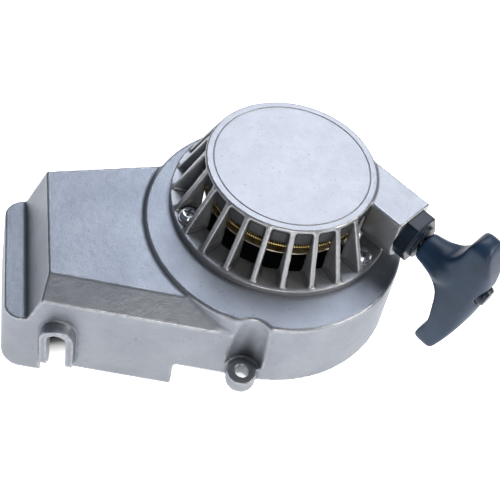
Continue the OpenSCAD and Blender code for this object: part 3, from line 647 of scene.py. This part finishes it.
def knotPoints(size, place, stretch=1.0):
    # a loose overhand knot round the point
    points = []
    for i in range(61):
        t = 0.25 + (2 * math.pi - 0.5) * i / 60
        local = Vector(((math.sin(t) + 2 * math.sin(2 * t)), (math.cos(t) - 2 * math.cos(2 * t)),
                        -stretch * math.sin(3 * t))) * size
        points.append(place(local))
    return points


windingPath, leadPath = ropePaths(rope)
winding = cordAlong("rope_turns", windingPath)
dress(winding, "rope", "reel", "rope_winding")
lead = cordAlong("rope_lead_cord", leadPath)
# the knots are tied in a thinner cord
thin = {"Ring radius": 0.6 * mm, "Strand radius": 0.36 * mm, "Weave": 0.14 * mm, "Step": 0.4 * mm,
        "Lay": 5 * mm}


def endKnotPlace(local):
    droop = math.radians(rope["droop"])
    x, z = rope["knot"] + rope["knotMiddle"] + local.z, local.y
    return fromOutlet(rope["mouth"] + x * math.cos(droop) + z * math.sin(droop), rope["offset"] + local.x,
                      rope["height"] - x * math.sin(droop) + z * math.cos(droop))


endKnot = cordAlong("tied_end_knot", knotPoints(0.93, endKnotPlace, 1.3), thin)
dress(endKnot, "rope", "rope_end", "rope_end_knot")
turn = math.radians(rope["anchorAngle"])
anchor = cordAlong("anchor_knot", knotPoints(0.60, lambda p: (
    (rope["anchorRadius"] + p.x) * math.cos(turn) - p.y * math.sin(turn),
    (rope["anchorRadius"] + p.x) * math.sin(turn) + p.y * math.cos(turn), rope["reelHeight"] + p.z)), thin)
dress(anchor, "rope", "reel", "rope_anchor_knot")
paint(lead, "rope")
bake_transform(lead)
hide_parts("rope_lead")
print("rope:", sum(len(p.data.polygons) for p in (winding, lead, endKnot, anchor)), "faces")

# table, light and camera
camera = {"azimuth": -20.9, "elevation": 50.6, "roll": 15.9, "lens": 67.03, "distance": 0.487,
          "aimX": -0.0078, "aimY": 0.0023}


def placeCamera(settings):
    azimuth, elevation, roll = (math.radians(settings[k]) for k in ("azimuth", "elevation", "roll"))
    back = Vector((math.sin(azimuth) * math.cos(elevation), -math.cos(azimuth) * math.cos(elevation),
                   math.sin(elevation)))
    right = (-back).cross(Vector((0, 0, 1))).normalized()
    up = right.cross(-back)
    turnedRight = right * math.cos(roll) + up * math.sin(roll)
    turnedUp = up * math.cos(roll) - right * math.sin(roll)
    data = bpy.data.cameras.new("camera")
    data.lens, data.sensor_width = settings["lens"], 36
    data.clip_start, data.clip_end = 0.05, 20
    holder = bpy.data.objects.new("camera", data)
    bpy.context.collection.objects.link(holder)
    place = turnedRight * settings["aimX"] + turnedUp * settings["aimY"] + back * settings["distance"]
    turn = Matrix((turnedRight, turnedUp, back)).transposed().to_4x4()
    holder.matrix_world = Matrix.Translation(place) @ turn
    bpy.context.scene.camera = holder


placeCamera(camera)

table = {"skirtX": -54.6, "skirtZ": -16.1, "scrollX": 62.4, "scrollZ": -0.1, "size": 8.0, "colour": "#fafafa",
         "glow": 0.95, "shade": "#15171a", "boxMiddle": (-0.055, -0.009), "boxHalf": (0.062, 0.030),
         "roundMiddle": (-0.0036, -0.0093), "roundRadius": 0.057, "fade": 80.0}


def makeTable(settings):
    # paper on which the cover lies tilted, on its skirt and on the scroll's edge; past that edge the paper is
    # level in the model's frame, so the pulled handle passes over it
    x0, z0, x1, z1 = (settings[k] * mm for k in ("skirtX", "skirtZ", "scrollX", "scrollZ"))
    half = settings["size"] / 2
    mesh = bpy.data.meshes.new("table")
    mesh.from_pydata([(x, y, z0 + (z1 - z0) * (min(x, x1) - x0) / (x1 - x0))
                      for x in (-half, x1, half) for y in (-half, half)], [], [(0, 2, 3, 1), (2, 4, 5, 3)])
    top = bpy.data.objects.new("table", mesh)
    bpy.context.collection.objects.link(top)
    material, tree, shader = newMaterial("whitePaperSweep")
    place = addNode(tree, "ShaderNodeTexCoord").outputs["Object"]
    tone = ramp(tree, noiseAt(tree, place, 60, 2, 0.5), 0.3, 0.7, srgb("#f4f4f5"), srgb(settings["colour"]))
    shader.inputs["Roughness"].default_value = 0.9
    shader.inputs["Specular IOR Level"].default_value = 0.1
    shader.inputs["Emission Color"].default_value = srgb("#ffffff")
    # the paper glows as if lit from behind, except under the part: a box and a circle, where the glow stops and
    # the colour turns dark, a painted shadow
    axes = addNode(tree, "ShaderNodeSeparateXYZ", {0: place}).outputs
    past = []
    square = []
    for k in (0, 1):
        aside = calc(tree, "ABSOLUTE", calc(tree, "ADD", axes[k], -settings["boxMiddle"][k]))
        past.append(calc(tree, "SUBTRACT", aside, settings["boxHalf"][k]))
        gap = calc(tree, "ADD", axes[k], -settings["roundMiddle"][k])
        square.append(calc(tree, "MULTIPLY", gap, gap))
    away = calc(tree, "SQRT", calc(tree, "ADD", *square))
    outside = calc(tree, "MINIMUM", calc(tree, "MAXIMUM", *past),
                   calc(tree, "SUBTRACT", away, settings["roundRadius"]))
    lit = ramp(tree, calc(tree, "MULTIPLY_ADD", outside, settings["fade"], 0.35), 0.0, 0.6)
    tree.links.new(calc(tree, "MULTIPLY", lit, settings["glow"]), shader.inputs["Emission Strength"])
    under = ramp(tree, calc(tree, "MULTIPLY_ADD", outside, settings["fade"], 0.6), 0.0, 0.5)
    tree.links.new(mixColour(tree, under, srgb(settings["shade"]), tone), shader.inputs["Base Color"])
    top.data.materials.append(material)


makeTable(table)

lights = {
    "key": {"from": (1.30, -0.55, 1.05), "size": 0.5, "power": 15, "colour": "#fff8ee"},
    "sky": {"from": (0.50, 1.25, 1.65), "size": 1.3, "power": 25, "colour": "#eef3ff"},
    "front": {"from": (-0.20, -1.60, 0.72), "size": 0.7, "power": 11, "colour": "#fff9f2"},
}
world = {"colour": "#dbe6f4", "strength": 0.17}


def makeLights(settings):
    for name, light in settings.items():
        data = bpy.data.lights.new(name, "AREA")
        data.shape, data.size, data.energy = "SQUARE", light["size"], light["power"]
        data.color = srgb(light["colour"])[:3]
        lamp = bpy.data.objects.new(name, data)
        lamp.location = light["from"]
        lamp.rotation_euler = (-Vector(light["from"])).to_track_quat("-Z", "Y").to_euler()
        bpy.context.collection.objects.link(lamp)
    room = bpy.data.worlds.new("studio")
    bpy.context.scene.world = room
    room.use_nodes = True
    room.node_tree.nodes["Background"].inputs["Color"].default_value = srgb(world["colour"])
    room.node_tree.nodes["Background"].inputs["Strength"].default_value = world["strength"]
    bpy.context.scene.view_settings.view_transform = "Standard"


makeLights(lights)
print("stage set")
